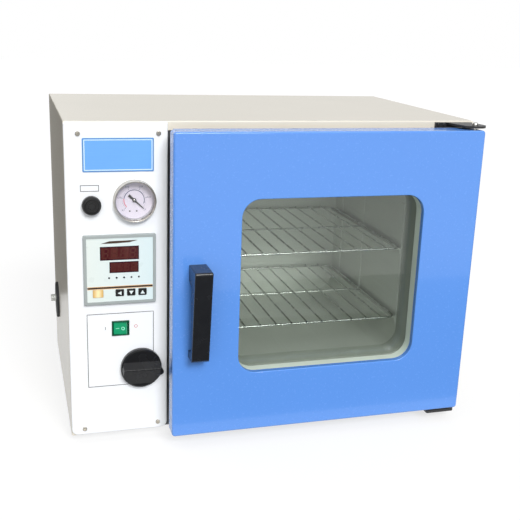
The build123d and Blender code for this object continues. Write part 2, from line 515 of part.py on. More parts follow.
# ---------------------------------------------------------------- door
dw = front(rrect(DOOR_X0, DOOR_X1, DOOR_Z0, DOOR_Z1, DOOR_R), DOOR_YF, DOOR_YB - 2.2)
dw = fillet(edges_at(dw, "y", DOOR_YF), 2.6)
dw -= front(rrect(DOOR_X0 + 1.6, DOOR_X1 - 1.6, DOOR_Z0 + 1.6, DOOR_Z1 - 1.6, DOOR_R - 1.6), DOOR_YF + 2.8, 0)
collar = front(rrect(WIN_X0 - 1.6, WIN_X1 + 1.6, WIN_Z0 - 1.6, WIN_Z1 + 1.6, WIN_R + 1.6), DOOR_YF + 1, DOOR_YF + 8)
dw += collar
win_cut = front(rrect(WIN_X0, WIN_X1, WIN_Z0, WIN_Z1, WIN_R), DOOR_YF - 1, DOOR_YF + 10)
dw -= win_cut
win_edges = [e for e in edges_at(dw, "y", DOOR_YF)
             if WIN_X0 - 1 < e.center().X < WIN_X1 + 1 and WIN_Z0 - 1 < e.center().Z < WIN_Z1 + 1]
dw = fillet(win_edges, 1.2)
HX = (153.5 + 177.5) / 2
HZ_S = (132.6, 245.5)
for sz in HZ_S:
    dw -= cyl_y(HX, sz, 2.6, DOOR_YF - 1, DOOR_YF + 4)
# Rebate along the opening side: the shell is 24 mm deep there, and the inner panel closes it.
REB_Y, REB_W = -24.0, 5.2
dw -= block(DOOR_X0 - 1, DOOR_X0 + REB_W + 0.2, REB_Y, 0, DOOR_Z0 - 1, DOOR_Z1 + 1)
dw -= cyl_z(HINGE_X, HINGE_Y, 4.2, DOOR_Z0 - 1, DOOR_Z0 + 2.5)
dw -= cyl_z(HINGE_X, HINGE_Y, 4.2, DOOR_Z1 - 2.5, DOOR_Z1 + 1)
node("door_shell", dw)

pan = front(rrect(DOOR_X0 + 0.6, DOOR_X1 - 0.6, DOOR_Z0 + 0.6, DOOR_Z1 - 0.6, DOOR_R - 0.6), DOOR_YB - 2.1, DOOR_YB)
pan = fillet(edges_at(pan, "y", DOOR_YB), 0.8)
pan -= block(DOOR_X0 - 1, DOOR_X0 + REB_W, DOOR_YB - 3, 0, DOOR_Z0 - 1, DOOR_Z1 + 1)
ledge = front(rrect(DOOR_X0 + 0.5, DOOR_X1 - 3, DOOR_Z0 + 0.5, DOOR_Z1 - 0.5, DOOR_R - 0.5), REB_Y + 0.1, REB_Y + 1.3)
ledge -= block(DOOR_X0 + REB_W, DOOR_X1, REB_Y, 0, DOOR_Z0 - 1, DOOR_Z1 + 1)
pan += ledge
pan += block(DOOR_X0 + REB_W - 0.5, DOOR_X0 + REB_W + 1.4, REB_Y + 0.1, REB_Y + 1.3, DOOR_Z0 + 1.8, DOOR_Z1 - 1.8)
pan += block(DOOR_X0 + REB_W, DOOR_X0 + REB_W + 1.4, REB_Y + 0.1, DOOR_YB - 1.0, DOOR_Z0 + 1.8, DOOR_Z1 - 1.8)
clamp = front(rrect(176, 535, 50, 388, 52), GLASS_Y1 - 0.1, GLASS_Y1 + 2.1)
clamp = fillet(edges_at(clamp, "y", GLASS_Y1 + 2.1), 0.8)
pan += clamp
pan -= front(rrect(199.5, 511.5, 73.5, 364.5, 44), -20, 0)
pan -= front(rrect(186.6, 524.4, 60.6, 377.4, 40.4), -20, GLASS_Y1 + 0.03)
node("door_inner_panel", pan)

spacer = front(rrect(201, 510, 73, 365, 44), -39.7, GLASS_Y0 - 0.1)
spacer -= front(rrect(WIN_X0, WIN_X1, WIN_Z0, WIN_Z1, WIN_R), -41, -20)
node("window_spacer", spacer)
pane = front(rrect(187, 524, 61, 377, 40), GLASS_Y0, GLASS_Y1)
node("window_glass", pane)

# The handle is a wedge: 40 mm deep at its top, tapering towards its lower end.
hx0, hx1, hz0, hz1 = 153.5, 177.5, 127.4, 256.8
HANDLE_TOP_Y, HANDLE_LOW_Y, GRIP_BACK = -88.419, -72.0, -64.5    # the rounded edge ends at Y_MIN
handle = across([(DOOR_YF, hz1), (HANDLE_TOP_Y, hz1), (HANDLE_LOW_Y, hz0), (DOOR_YF, hz0)], hx0, hx1)
handle = fillet([e for e in handle.edges() if abs(e.center().Y - HANDLE_TOP_Y) < 0.1], 3.2)
handle = chamfer([e for e in handle.edges() if abs(e.center().Y - HANDLE_LOW_Y) < 0.1], 2.6)
handle = fillet([e for e in handle.edges() if e.length > 90 and e.center().Y < -72], 1.6)
handle -= across([(DOOR_YF + 1, 235.2), (-58.5, 233.4), (-63.0, 231.6), (GRIP_BACK, 228.0), (GRIP_BACK, 143.5),
                  (-63.0, 140.0), (-58.5, 138.0), (DOOR_YF + 1, 136.8)], hx0 - 1, hx1 + 1)
for sz in HZ_S:
    handle -= cyl_y(HX, sz, 2.45, DOOR_YF - 16, DOOR_YF + 1)
node("door_handle", handle)
node("handle_screws", *[pan_screw((HX, DOOR_YF + 2.8, sz), (0, -1, 0), 4.4, 2.8, 2.4, 16) for sz in HZ_S])

hb = []
for z0, z1 in ((DOOR_Z0 + 1.7, DOOR_Z0 + 20), (DOOR_Z1 - 20, DOOR_Z1 - 1.7)):
    b = front(rrect(530, DOOR_X1 - 1.9, z0, z1, 5.3), HINGE_Y - 14, HINGE_Y + 13)
    b -= cyl_z(HINGE_X, HINGE_Y, HINGE_R + 0.06, z0 - 1, z1 + 1)
    hb.append(b)
node("hinge_blocks", *hb)

# Hinge brackets on the cabinet, and their pins.
TOP_Z, BOT_Z = 433.0, 2.0
TOP_T, BOT_T = 3.0, 4.2
brackets = []
arm_top = make_face(Polyline((534, FRONT - 0.5), (545, -36), (HINGE_X - 9, HINGE_Y - TAB_R + 2), (HINGE_X, HINGE_Y),
                             (HINGE_X + TAB_R, HINGE_Y), (HINGE_X + 10, FRONT - 0.5), close=True))
arm_low = make_face(Polyline((537, FRONT - 0.5), (537, -5), (524, -9), (524, -42.5), (525.5, -44), (566, -44), (568, -43), (573, -33),
                             (574, -28), (574, FRONT - 0.5), close=True))
for arm, z0, t, leg0, leg1, back, sz in (
        (arm_top, TOP_Z, TOP_T, 429.4, 436.0, FRONT - 0.02, BRACKET_SCREWS_Z[0]),
        (arm_low, BOT_Z, BOT_T, 1.6, 8.2, FRAME_Y0 - 0.02, BRACKET_SCREWS_Z[1])):
    tab = plan(arm, z0, z0 + t)
    if z0 > 100:
        tab += cyl_z(HINGE_X, HINGE_Y, TAB_R, z0, z0 + t)
    tab += block(LEG_X0, HINGE_X + 10, 0, FRONT - 0.02, leg0, leg1)
    tab += block(LEG_X0, CAB_W - LIP - 0.6, 1, back, leg0, leg1)
    tab -= cyl_z(HINGE_X, HINGE_Y, HINGE_R + 0.02, z0 - 1, z0 + t + 1)
    for sx in BRACKET_SCREWS_X:
        tab -= cyl_y(sx, sz, 1.6, -1, 5)
    brackets.append(tab)
node("hinge_brackets", *brackets)
top_pin = cyl_z(HINGE_X, HINGE_Y, HINGE_R, 411, TOP_Z + 3.1)
head = cyl_z(HINGE_X, HINGE_Y, 4.4, TOP_Z + 3.05, TOP_Z + 6.8)
head = fillet(edges_at(head, "z", TOP_Z + 6.8), 2.6)
top_pin += head
top_pin += cyl_z(HINGE_X, HINGE_Y, 5.6, DOOR_Z1 + 0.4, TOP_Z - 0.05)
bot_pin = cyl_z(HINGE_X, HINGE_Y, HINGE_R, BOT_Z - 0.1, 27)
bot_pin += cyl_z(HINGE_X, HINGE_Y, 4.6, BOT_Z - 2.2, BOT_Z - 0.05)
bot_pin += cyl_z(HINGE_X, HINGE_Y, 5.6, BOT_Z + BOT_T + 0.05, DOOR_Z0 - 0.3)
node("hinge_pins", top_pin, bot_pin)
node("frame_screws",
     *[pan_screw((sx, 0, sz), (0, 1, 0), 2.7, 1.6, 1.5, 7) for sx in BRACKET_SCREWS_X for sz in BRACKET_SCREWS_Z],
     *[pan_screw((sx, CH_Y0, sz), (0, 1, 0), 2.7, 1.6, 1.5, 6) for sx, sz in FLANGE_SCREWS])
node("door_magnet", block(140, 154, DOOR_YB + 0.4, FRAME_Y0 - 0.05, 195, 243))

# ---------------------------------------------------------------- write the pieces
os.makedirs("parts", exist_ok=True)
for old in os.listdir("parts"):
    if old.endswith(".step") and old[:-5] not in nodes:
        os.remove(os.path.join("parts", old))
for name, solids in nodes.items():
    flat = []
    for s in solids:
        flat.extend(s.solids())
    shape = flat[0] if len(flat) == 1 else Compound(children=flat)
    shape.label = name
    export_step(shape, f"parts/{name}.step")
print(len(nodes), "nodes")
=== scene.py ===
import json
import math

import bmesh
import bpy
from mathutils import Matrix, Vector


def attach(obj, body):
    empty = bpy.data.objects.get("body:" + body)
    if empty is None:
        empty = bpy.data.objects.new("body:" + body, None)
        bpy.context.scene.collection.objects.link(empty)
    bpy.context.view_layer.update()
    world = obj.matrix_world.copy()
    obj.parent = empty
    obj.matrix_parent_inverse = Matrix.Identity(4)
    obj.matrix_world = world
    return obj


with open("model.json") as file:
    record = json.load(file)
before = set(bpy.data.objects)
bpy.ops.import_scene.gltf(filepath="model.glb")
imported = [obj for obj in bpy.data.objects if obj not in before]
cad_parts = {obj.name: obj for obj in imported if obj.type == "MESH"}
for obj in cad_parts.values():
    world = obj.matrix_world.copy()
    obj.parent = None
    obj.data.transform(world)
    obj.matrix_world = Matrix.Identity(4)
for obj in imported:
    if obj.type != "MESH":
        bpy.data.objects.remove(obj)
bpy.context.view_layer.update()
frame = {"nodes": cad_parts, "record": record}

scene = bpy.context.scene
nodes = frame["nodes"]

# ---------------------------------------------------------------- frame
# Millimetres from the cabinet's lower front left corner, x right, y in, z up.
SHIFT = (-284.0, -142.0, 12.0)


def pt(x, y, z):
    return Vector(((x + SHIFT[0]) / 1000.0, (y + SHIFT[1]) / 1000.0, (z + SHIFT[2]) / 1000.0))


def lin(r, g, b):
    """An 8-bit screen colour as linear values."""
    out = []
    for c in (r, g, b):
        c = c / 255.0
        out.append(c / 12.92 if c <= 0.04045 else ((c + 0.055) / 1.055) ** 2.4)
    return tuple(out)


# ---------------------------------------------------------------- materials
class Paint:
    """A material with a few short helpers for its nodes."""

    def __init__(self, name, base, rough=0.4, metallic=0.0, **sockets):
        self.m = bpy.data.materials.new(name)
        self.m.use_nodes = True
        self.t = self.m.node_tree
        self.p = self.t.nodes["Principled BSDF"]
        self.obj = self.add("ShaderNodeTexCoord").outputs["Object"]
        self.p.inputs["Base Color"].default_value = (*base, 1.0)
        self.p.inputs["Roughness"].default_value = rough
        self.p.inputs["Metallic"].default_value = metallic
        for k, v in sockets.items():
            self.p.inputs[k.replace("_", " ")].default_value = v
        self.m.diffuse_color = (*base, 1.0)
        self.normal = None

    def add(self, kind, **props):
        n = self.t.nodes.new(kind)
        for k, v in props.items():
            setattr(n, k, v)
        return n

    def put(self, socket, value):
        if isinstance(value, (int, float)):
            socket.default_value = value
        elif isinstance(value, tuple):
            socket.default_value = value if len(value) == 4 or len(socket.default_value) == 3 else (*value, 1.0)
        elif value is not None:
            self.t.links.new(value, socket)

    def stretched(self, sx, sy, sz, turn=(0, 0, 0)):
        n = self.add("ShaderNodeMapping")
        self.put(n.inputs["Vector"], self.obj)
        n.inputs["Scale"].default_value = (sx, sy, sz)
        n.inputs["Rotation"].default_value = turn
        return n.outputs["Vector"]

    def noise(self, scale, detail=2.0, rough=0.5, vec=None, distortion=0.0):
        n = self.add("ShaderNodeTexNoise")
        self.put(n.inputs["Vector"], vec or self.obj)
        n.inputs["Scale"].default_value = scale
        n.inputs["Detail"].default_value = detail
        n.inputs["Roughness"].default_value = rough
        n.inputs["Distortion"].default_value = distortion
        return n.outputs["Fac"]

    def cells(self, scale, feature="F1", out="Distance", vec=None):
        n = self.add("ShaderNodeTexVoronoi", feature=feature)
        self.put(n.inputs["Vector"], vec or self.obj)
        n.inputs["Scale"].default_value = scale
        return n.outputs[out]

    def span(self, value, a, b, c, d):
        n = self.add("ShaderNodeMapRange")
        self.put(n.inputs["Value"], value)
        for k, v in zip(("From Min", "From Max", "To Min", "To Max"), (a, b, c, d)):
            n.inputs[k].default_value = v
        return n.outputs["Result"]

    def calc(self, op, a, b=0.0):
        n = self.add("ShaderNodeMath", operation=op)
        self.put(n.inputs[0], a)
        self.put(n.inputs[1], b)
        return n.outputs[0]

    def mix(self, fac, a, b, blend="MIX"):
        n = self.add("ShaderNodeMix", data_type="RGBA", blend_type=blend)
        self.put(n.inputs[0], fac)
        self.put(n.inputs[6], a)
        self.put(n.inputs[7], b)
        return n.outputs[2]

    def axis(self, which):
        n = self.add("ShaderNodeSeparateXYZ")
        self.put(n.inputs[0], self.obj)
        return n.outputs[which]

    def colour(self, value):
        self.put(self.p.inputs["Base Color"], value)

    def roughness(self, value):
        self.put(self.p.inputs["Roughness"], value)

    def bump(self, height, distance, strength=1.0):
        n = self.add("ShaderNodeBump")
        self.put(n.inputs["Height"], height)
        n.inputs["Distance"].default_value = distance
        n.inputs["Strength"].default_value = strength
        if self.normal is not None:
            self.put(n.inputs["Normal"], self.normal)
        self.normal = n.outputs["Normal"]
        self.put(self.p.inputs["Normal"], self.normal)

    def vary(self, base, amount, scale=7.0):
        """Slow, slight change of tone over the surface."""
        dark = tuple(c * (1 - amount) for c in base)
        lift = tuple(min(1.0, c * (1 + amount)) for c in base)
        c = self.mix(self.span(self.noise(scale, 3.0), 0.3, 0.7, 0.0, 1.0), dark, lift)
        self.colour(c)
        return c


def tone(c, k):
    return tuple(min(1.0, x * k) for x in c)


def powder_coat(name, base, rough, grain, height, tone_by=0.02, **kw):
    p = Paint(name, base, rough, **kw)
    c = p.vary(base, tone_by)
    speck = p.span(p.noise(grain * 1.7, 1.0), 0.35, 0.65, 0.0, 1.0)
    p.colour(p.mix(p.calc("MULTIPLY", speck, 0.12), c, tone(base, 0.93)))
    p.roughness(p.span(p.noise(grain * 0.4, 2.0), 0.3, 0.7, rough - 0.02, rough + 0.03))
    p.bump(p.noise(grain, 2.5, 0.55), height)
    return p.m


def rolled_steel(name, base, rough, along, tone_by=0.05, height=0.00002, metal=1.0):
    """Rolled or brushed sheet: fine lines along one axis, with slow cloudy change in gloss."""
    p = Paint(name, base, rough, metal)
    scale = {"x": (6, 1500, 1500), "y": (1500, 6, 1500), "z": (1500, 1500, 6)}[along]
    lines = p.noise(1.0, 3.0, 0.6, p.stretched(*scale))
    cloud = p.noise(9.0, 3.0)
    c = p.mix(p.span(cloud, 0.3, 0.7, 0, 1), tone(base, 1 - tone_by), tone(base, 1 + tone_by))
    c = p.mix(p.span(lines, 0.35, 0.7, 0.0, 0.25), c, tone(base, 0.82))
    p.colour(c)
    p.roughness(p.calc("ADD", p.span(lines, 0.3, 0.7, rough - 0.06, rough + 0.08), p.span(cloud, 0.3, 0.7, -0.03, 0.03)))
    p.bump(lines, height)
    return p.m


def zinc_sheet(name, base):
    p = Paint(name, base, 0.42, 1.0)
    flake = p.cells(95.0, out="Color")
    lum = p.add("ShaderNodeRGBToBW")
    p.put(lum.inputs[0], flake)
    c = p.mix(p.span(lum.outputs[0], 0.1, 0.9, 0, 1), tone(base, 0.86), tone(base, 1.08))
    p.colour(c)
    p.roughness(p.span(lum.outputs[0], 0.1, 0.9, 0.34, 0.52))
    p.bump(p.noise(700.0, 2.0), 0.00001)
    return p.m


def plated(name, base, rough, scale=900.0, height=0.000006, tone_by=0.05):
    """Polished or plated metal with faint handling haze."""
    p = Paint(name, base, rough, 1.0)
    haze = p.noise(55.0, 4.0)
    p.colour(p.mix(p.span(haze, 0.35, 0.7, 0, 1), base, tone(base, 1 - tone_by)))
    p.roughness(p.span(haze, 0.35, 0.75, rough, rough + 0.09))
    p.bump(p.noise(scale, 2.0), height)
    return p.m


def moulded(name, base, rough, grain=1600.0, height=0.00002, tone_by=0.06, **kw):
    """Moulded plastic: spark-eroded grain and a little unevenness of gloss."""
    p = Paint(name, base, rough, **kw)
    c = p.vary(base, tone_by, 18.0)
    g = p.noise(grain, 2.0, 0.6)
    p.colour(p.mix(p.span(g, 0.3, 0.7, 0.0, 0.22), c, tone(base, 0.8)))
    p.roughness(p.span(p.noise(70.0, 3.0), 0.3, 0.7, rough - 0.05, rough + 0.07))
    p.bump(g, height)
    return p.m


def rubbery(name, base, rough=0.62, grain=900.0):
    p = Paint(name, base, rough)
    dust = p.span(p.noise(34.0, 5.0, 0.65), 0.52, 0.78, 0.0, 0.35)
    c = p.mix(dust, base, tuple(min(1.0, x * 1.5 + 0.012) for x in base))
    p.colour(c)
    p.roughness(p.span(p.noise(120.0, 3.0), 0.3, 0.7, rough - 0.06, rough + 0.1))
    p.bump(p.noise(grain, 3.0, 0.6), 0.00004)
    return p.m


def ink(name, base, rough=0.5):
    """Printed mark: slightly uneven film."""
    p = Paint(name, base, rough)
    p.colour(p.mix(p.span(p.noise(420.0, 3.0), 0.35, 0.7, 0.0, 0.5), base, tuple(min(1.0, c * 1.25 + 0.01) for c in base)))
    p.bump(p.noise(2200.0, 1.0), 0.000008)
    return p.m


def pane(name, tint, rough, smear=0.02):
    """Clear glass that lets lamp light through to what is behind it."""
    p = Paint(name, tint, rough)
    p.p.inputs["Transmission Weight"].default_value = 1.0
    p.p.inputs["IOR"].default_value = 1.46
    film = p.noise(11.0, 4.0, 0.6, p.stretched(1.0, 1.0, 2.2))
    p.roughness(p.span(film, 0.45, 0.8, rough, rough + smear))
    p.colour(p.mix(p.span(film, 0.3, 0.8, 0.0, 1.0), tint, tone(tint, 0.965)))
    path = p.add("ShaderNodeLightPath")
    clear = p.add("ShaderNodeBsdfTransparent")
    clear.inputs["Color"].default_value = (*tone(tint, 0.97), 1.0)
    both = p.add("ShaderNodeMixShader")
    out = [n for n in p.t.nodes if n.type == "OUTPUT_MATERIAL"][0]
    through = p.calc("ADD", path.outputs["Is Shadow Ray"], path.outputs["Is Diffuse Ray"])
    mirrored = p.calc("MAXIMUM", p.calc("SUBTRACT", path.outputs["Is Glossy Ray"], path.outputs["Is Transmission Ray"]), 0.0)
    p.put(both.inputs[0], p.calc("MINIMUM", p.calc("ADD", through, mirrored), 1.0))
    p.put(both.inputs[1], p.p.outputs[0])
    p.put(both.inputs[2], clear.outputs[0])
    p.put(out.inputs["Surface"], both.outputs[0])
    return p.m


CASING = (0.80, 0.755, 0.66)
M = {
    "casing_paint": powder_coat("casing_paint", CASING, 0.24, 1300.0, 0.000012, 0.012),
    "panel_paint": powder_coat("panel_paint", (0.945, 0.965, 0.99), 0.30, 1000.0, 0.000004, 0.004),
    "door_paint": powder_coat("door_paint", (0.112, 0.312, 0.84), 0.25, 900.0, 0.000003, 0.008, Coat_Weight=0.5, Coat_Roughness=0.06),
    "rear_paint": powder_coat("rear_paint", CASING, 0.30, 1300.0, 0.00002, 0.015),
    # The front frame's near-black is painted shade: it stands in for the shade in the gap between door and control
    # panel, and the frame's own colour is not known.
    "frame_paint": powder_coat("frame_paint", (0.055, 0.062, 0.070), 0.42, 1200.0, 0.00002, 0.05),
    "stainless": rolled_steel("stainless", (0.70, 0.715, 0.675), 0.48, "y", 0.03, 0.000004, 0.55),
    "galvanised": zinc_sheet("galvanised", (0.60, 0.61, 0.62)),
    "screw_steel": plated("screw_steel", (0.50, 0.47, 0.41), 0.30, 1500.0, 0.00002, 0.25),
    "wire_steel": plated("wire_steel", (0.62, 0.63, 0.61), 0.22, 1500.0),
    "chrome": plated("chrome", (0.80, 0.78, 0.73), 0.12),
    "hinge_black": powder_coat("hinge_black", (0.022, 0.022, 0.023), 0.33, 1200.0, 0.00004, 0.1),
    "black_plastic": moulded("black_plastic", (0.012, 0.0125, 0.014), 0.24, 1600.0, 0.000008, Specular_IOR_Level=0.3),
    "handle_plastic": moulded("handle_plastic", (0.013, 0.0145, 0.018), 0.22, 1300.0, 0.000006),
    "rubber_black": rubbery("rubber_black", (0.022, 0.023, 0.025)),
    "silicone_grey": rubbery("silicone_grey", (0.33, 0.345, 0.31), 0.55),
    "glass": pane("glass", (0.945, 0.98, 0.955), 0.008, 0.015),
    "lens_glass": pane("lens_glass", (0.985, 0.985, 0.99), 0.01, 0.01),
    "spacer_mint": moulded("spacer_mint", (0.80, 0.90, 0.80), 0.38, 900.0, 0.00001, 0.03),
    "brass": plated("brass", (0.72, 0.53, 0.24), 0.26, 700.0, 0.00001, 0.2),
    "copper": plated("copper", (0.62, 0.33, 0.20), 0.30, 600.0, 0.00001, 0.35),
    "ctrl_grey": moulded("ctrl_grey", (0.375, 0.415, 0.41), 0.42, 1500.0, 0.00002, 0.03),
    "ctrl_black": moulded("ctrl_black", (0.02, 0.02, 0.021), 0.45),
    "lamp_dark": moulded("lamp_dark", (0.010, 0.017, 0.022), 0.18, 2500.0, 0.000004, Specular_IOR_Level=0.12),
    "key_black": moulded("key_black", (0.012, 0.013, 0.014), 0.28, 2200.0, 0.000006),
    "switch_black": moulded("switch_black", (0.005, 0.085, 0.042), 0.24, 2200.0, 0.000006),
    "pointer_black": powder_coat("pointer_black", (0.012, 0.012, 0.014), 0.45, 1800.0, 0.00001, 0.1),
    "dial_white": powder_coat("dial_white", (0.86, 0.80, 0.90), 0.45, 1500.0, 0.000008, 0.015),
    "magnet": plated("magnet", (0.42, 0.42, 0.42), 0.34, 800.0, 0.00001, 0.15),
}


def face_overlay():
    """Satin film on the controller: pale mint, a little bluer at its right-hand side."""
    base = (0.76, 0.865, 0.855)
    p = Paint("ctrl_face", base, 0.30)
    x = p.span(p.axis(0), pt(27, 0, 0).x, pt(111, 0, 0).x, 0.0, 1.0)
    c = p.mix(x, (0.80, 0.87, 0.83), (0.73, 0.86, 0.87))
    c = p.mix(p.span(p.noise(1800.0, 2.0), 0.35, 0.65, 0.0, 0.2), c, tone(base, 0.9))
    p.colour(c)
    p.roughness(p.span(p.noise(60.0, 3.0), 0.3, 0.7, 0.26, 0.38))
    p.bump(p.noise(2600.0, 2.0), 0.000006)
    return p.m


def display_tint():
    """Dark red filter, a little uneven across its digits."""
    p = Paint("display_red", (0.050, 0.006, 0.009), 0.10)
    p.p.inputs["Specular IOR Level"].default_value = 0.25
    bands = p.noise(1.0, 1.0, 0.5, p.stretched(130, 30, 18))
    c = p.mix(p.span(bands, 0.35, 0.65, 0.0, 1.0), (0.058, 0.006, 0.010), (0.105, 0.024, 0.020))
    p.colour(c)
    p.roughness(p.span(p.noise(90.0, 3.0), 0.3, 0.7, 0.08, 0.14))
    p.bump(p.noise(1500.0, 1.0), 0.000001)
    return p.m


def set_key():
    """Amber key; its paler middle is a painted highlight."""
    p = Paint("key_orange", (0.72, 0.46, 0.13), 0.28)
    # Painted highlight: the colour pales towards the key's middle.
    x = p.calc("ABSOLUTE", p.calc("SUBTRACT", p.axis(0), pt(39.4, 0, 0).x))
    c = p.mix(p.span(x, 0.001, 0.0058, 0.0, 1.0), (1.0, 0.86, 0.50), (0.80, 0.50, 0.16))
    p.colour(p.mix(p.span(p.noise(900.0, 2.0), 0.3, 0.7, 0.0, 0.12), c, (0.66, 0.42, 0.14)))
    p.roughness(p.span(p.noise(120.0, 3.0), 0.3, 0.7, 0.24, 0.36))
    p.bump(p.noise(2200.0, 2.0), 0.000005)
    return p.m


def rocker_green():
    """Green moulding, darker towards its top and bottom edges, with faint lighter patches."""
    base = (0.008, 0.335, 0.145)
    p = Paint("rocker_green", base, 0.17)
    z = p.calc("ABSOLUTE", p.calc("SUBTRACT", p.axis(2), pt(0, 0, 157.0).z))
    c = p.mix(p.span(z, 0.0066, 0.0086, 0.0, 0.75), base, (0.004, 0.12, 0.055))
    c = p.mix(p.span(p.noise(160.0, 3.0), 0.35, 0.7, 0.0, 0.5), c, (0.012, 0.40, 0.19))
    p.colour(c)
    p.roughness(p.span(p.noise(90.0, 3.0), 0.3, 0.7, 0.13, 0.24))
    p.bump(p.noise(1300.0, 2.0), 0.000006)
    p.p.inputs["Coat Weight"].default_value = 0.3
    return p.m


def anodised_plate():
    """Blue anodised sheet with a fine horizontal brush."""
    base = (0.155, 0.43, 0.93)
    p = Paint("plate_blue", base, 0.34)
    lines = p.noise(1.0, 2.0, 0.6, p.stretched(30, 2400, 2400))
    c = p.mix(p.span(lines, 0.3, 0.7, 0.0, 1.0), tone(base, 0.95), tuple(min(1.0, x * 1.04 + 0.005) for x in base))
    p.colour(p.mix(p.span(p.noise(14.0, 3.0), 0.4, 0.7, 0.0, 0.3), c, tone(base, 0.92)))
    p.roughness(p.span(lines, 0.3, 0.7, 0.28, 0.44))
    p.bump(lines, 0.000012)
    return p.m


def laminate():
    """Green solder mask over a pattern of tracks."""
    p = Paint("board_green", (0.012, 0.10, 0.04), 0.32)
    b = p.add("ShaderNodeTexBrick")
    p.put(b.inputs["Vector"], p.stretched(1, 1, 1, (math.radians(90), 0, 0)))
    b.inputs["Scale"].default_value = 130.0
    b.inputs["Mortar Size"].default_value = 0.03
    b.inputs["Color1"].default_value = (0.010, 0.10, 0.035, 1)
    b.inputs["Color2"].default_value = (0.014, 0.125, 0.045, 1)
    b.inputs["Mortar"].default_value = (0.03, 0.20, 0.07, 1)
    p.colour(b.outputs["Color"])
    p.roughness(p.span(p.noise(90.0, 2.0), 0.3, 0.7, 0.26, 0.42))
    p.bump(p.calc("ADD", b.outputs["Fac"], p.noise(2000.0, 2.0)), 0.00002)
    return p.m


def glass_wool():
    """Loose fibre blanket: long tangled threads over soft lumps."""
    base = (0.74, 0.66, 0.40)
    p = Paint("wool", base, 0.95)
    threads = p.noise(1.0, 6.0, 0.75, p.stretched(340, 60, 420), 2.5)
    other = p.noise(1.0, 5.0, 0.7, p.stretched(70, 380, 300, (0.4, 0.2, 0.7)), 2.0)
    lump = p.noise(26.0, 4.0, 0.6)
    c = p.mix(p.span(threads, 0.35, 0.68, 0, 1), tone(base, 0.62), (0.90, 0.84, 0.62))
    c = p.mix(p.span(lump, 0.3, 0.7, 0.0, 0.4), c, (0.60, 0.50, 0.27))
    p.colour(c)
    p.roughness(p.span(other, 0.3, 0.7, 0.85, 1.0))
    p.bump(p.calc("ADD", threads, other), 0.0009)
    p.bump(lump, 0.003)
    p.p.inputs["Sheen Weight"].default_value = 0.35
    p.p.inputs["Sheen Roughness"].default_value = 0.6
    return p.m


def foil_plate():
    """Heater plate faced with crumpled foil."""
    base = (0.66, 0.64, 0.60)
    p = Paint("heater", base, 0.30, 1.0)
    crease = p.cells(75.0, "DISTANCE_TO_EDGE")
    fine = p.noise(160.0, 4.0, 0.6)
    p.colour(p.mix(p.span(fine, 0.3, 0.7, 0.0, 0.5), base, tone(base, 0.84)))
    p.roughness(p.span(fine, 0.3, 0.7, 0.22, 0.42))
    p.bump(p.span(crease, 0.0, 0.18, 0.0, 1.0), 0.0004)
    p.bump(fine, 0.0002)
    return p.m


M["ctrl_face"] = face_overlay()
M["display_red"] = display_tint()
M["key_orange"] = set_key()
M["rocker_green"] = rocker_green()
M["plate_blue"] = anodised_plate()
M["board_green"] = laminate()
PLUG = rubbery("plug_rubber", (0.013, 0.0135, 0.014), 0.32)
BEZEL = plated("bezel_steel", (0.66, 0.635, 0.585), 0.26, 900.0, 0.000004)
M["wool"] = glass_wool()
M["heater"] = foil_plate()

INK_GREY = ink("ink_grey", (0.055, 0.055, 0.062))
INK_DARK = ink("ink_dark", (0.045, 0.048, 0.065))
INK_PLATE_LINE = ink("ink_plate_line", (0.66, 0.84, 0.97), 0.4)
INK_PLATE_EDGE = ink("ink_plate_edge", (0.075, 0.17, 0.36), 0.4)
INK_RED = ink("ink_red", (0.62, 0.20, 0.20))
INK_ARC = ink("ink_arc", (0.055, 0.07, 0.16))
INK_ARC_RED = ink("ink_arc_red", (0.72, 0.16, 0.22))
INK_BROWN = ink("ink_brown", (0.055, 0.028, 0.016), 0.4)
INK_WARM = ink("ink_warm", (0.86, 0.56, 0.30), 0.4)
INK_MINT = ink("ink_mint", (0.27, 0.80, 0.58), 0.3)
INK_PALE = ink("ink_pale", (0.74, 0.84, 0.83), 0.35)
SEGMENT = ink("segment_unlit", (0.082, 0.016, 0.012), 0.22)
FRAME_DARK = ink("display_edge", (0.030, 0.002, 0.010), 0.25)

SLOTS = {s["node"]: s["material_slot"] for s in frame["record"]["subparts"]}
for name, obj in nodes.items():
    obj.data.materials.clear()
    obj.data.materials.append(M[SLOTS[name]])

# Sheet whose rolling direction isn't front to back gets its own finish.
M["stainless_z"] = rolled_steel("stainless_z", (0.70, 0.705, 0.68), 0.30, "z", 0.04, 0.000008)
for name in ("door_inner_panel",):
    nodes[name].data.materials[0] = M["stainless_z"]
nodes["gauge_bezel"].data.materials[0] = BEZEL
nodes["bleed_plug"].data.materials[0] = PLUG


# ---------------------------------------------------------------- mesh building
def keep(name, bm, material, body, smooth=False):
    bmesh.ops.recalc_face_normals(bm, faces=bm.faces)
    me = bpy.data.meshes.new(name)
    bm.to_mesh(me)
    bm.free()
    for f in me.polygons:
        f.use_smooth = smooth
    me.materials.append(material)
    o = bpy.data.objects.new(name, me)
    scene.collection.objects.link(o)
    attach(o, body)
    return o


def rounded(x0, x1, z0, z1, r, n=6):
    pts = []
    for cx, cz, a0 in ((x1 - r, z1 - r, 0), (x0 + r, z1 - r, 90), (x0 + r, z0 + r, 180), (x1 - r, z0 + r, 270)):
        for i in range(n + 1):
            a = math.radians(a0 + 90.0 * i / n)
            pts.append((cx + r * math.cos(a), cz + r * math.sin(a)))
    return pts


def circle(cx, cz, r, n=48, a0=0.0, a1=360.0, closed=True):
    m = n if closed else n + 1
    return [(cx + r * math.cos(math.radians(a0 + (a1 - a0) * i / n)),
             cz + r * math.sin(math.radians(a0 + (a1 - a0) * i / n))) for i in range(m)]


